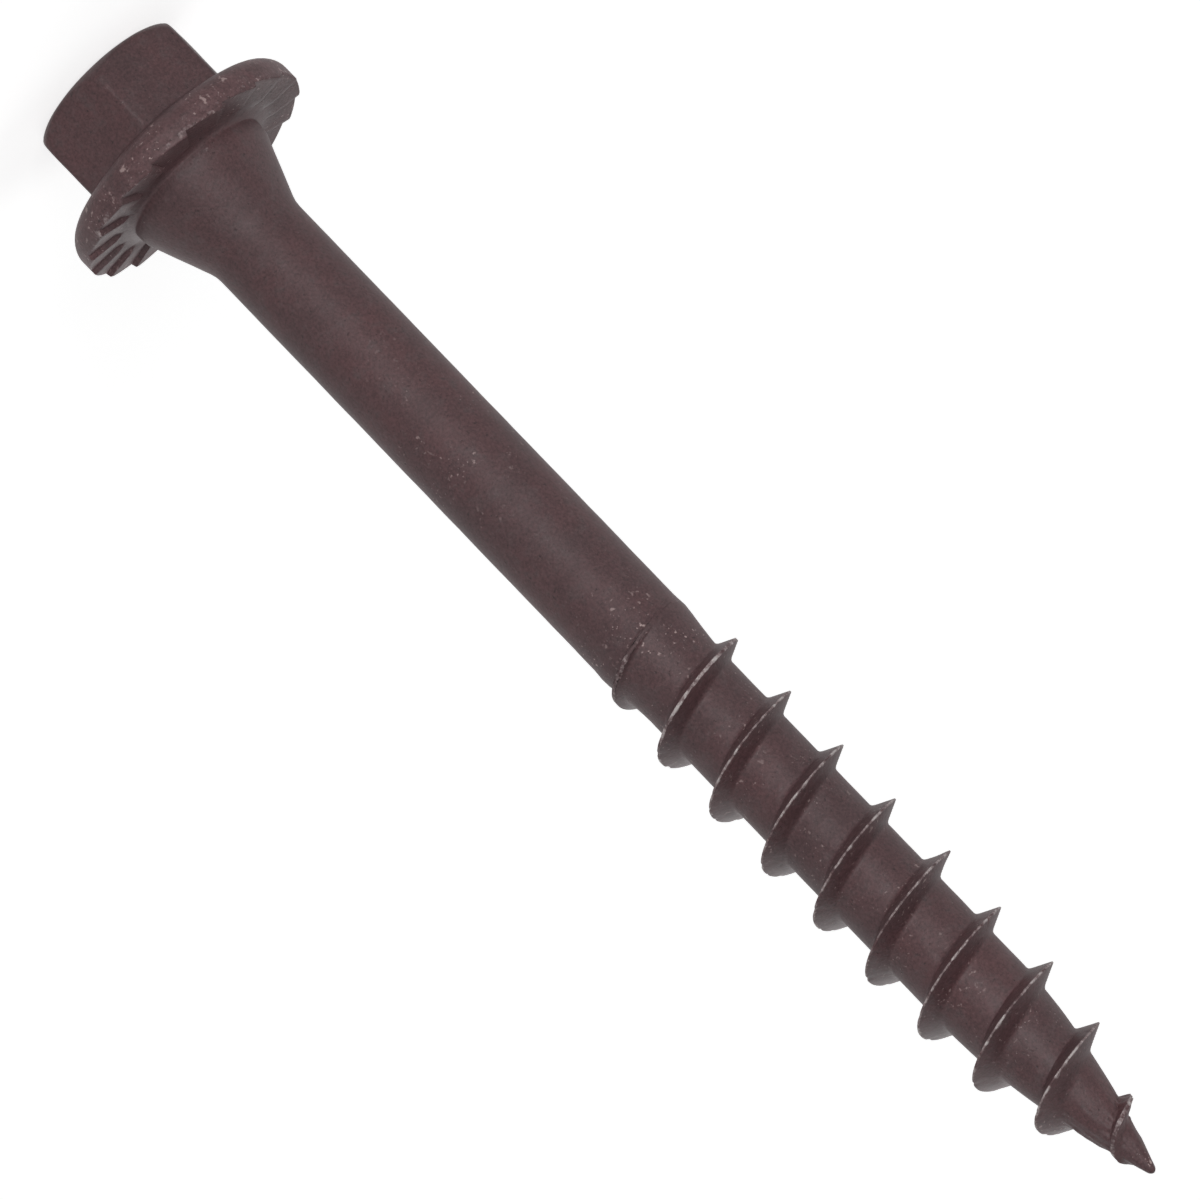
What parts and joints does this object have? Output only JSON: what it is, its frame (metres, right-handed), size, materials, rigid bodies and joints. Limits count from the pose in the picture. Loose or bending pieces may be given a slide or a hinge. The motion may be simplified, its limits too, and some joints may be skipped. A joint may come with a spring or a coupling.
{
  "type": "lag screw",
  "caption": "Hex washer-head lag screw with a serrated flange, conical collar, plain shank and coarse right-hand timber thread ending in a gimlet point.",
  "frame": {"origin": "centre of the flat head top, on the screw's axis; the screw stands on its head", "axes": "+Z along the screw from the head top to the point; two of the wrench flats face +X and -X"},
  "size_m": [0.0204, 0.0204, 0.1116],
  "materials": {
    "coated_steel": "semi-matt purple-brown corrosion coating over steel, worn bright on the thread crest and flange edge"
  },
  "bodies": {
    "root": {"lag_screw": "coated_steel"}
  },
  "joints": []
}
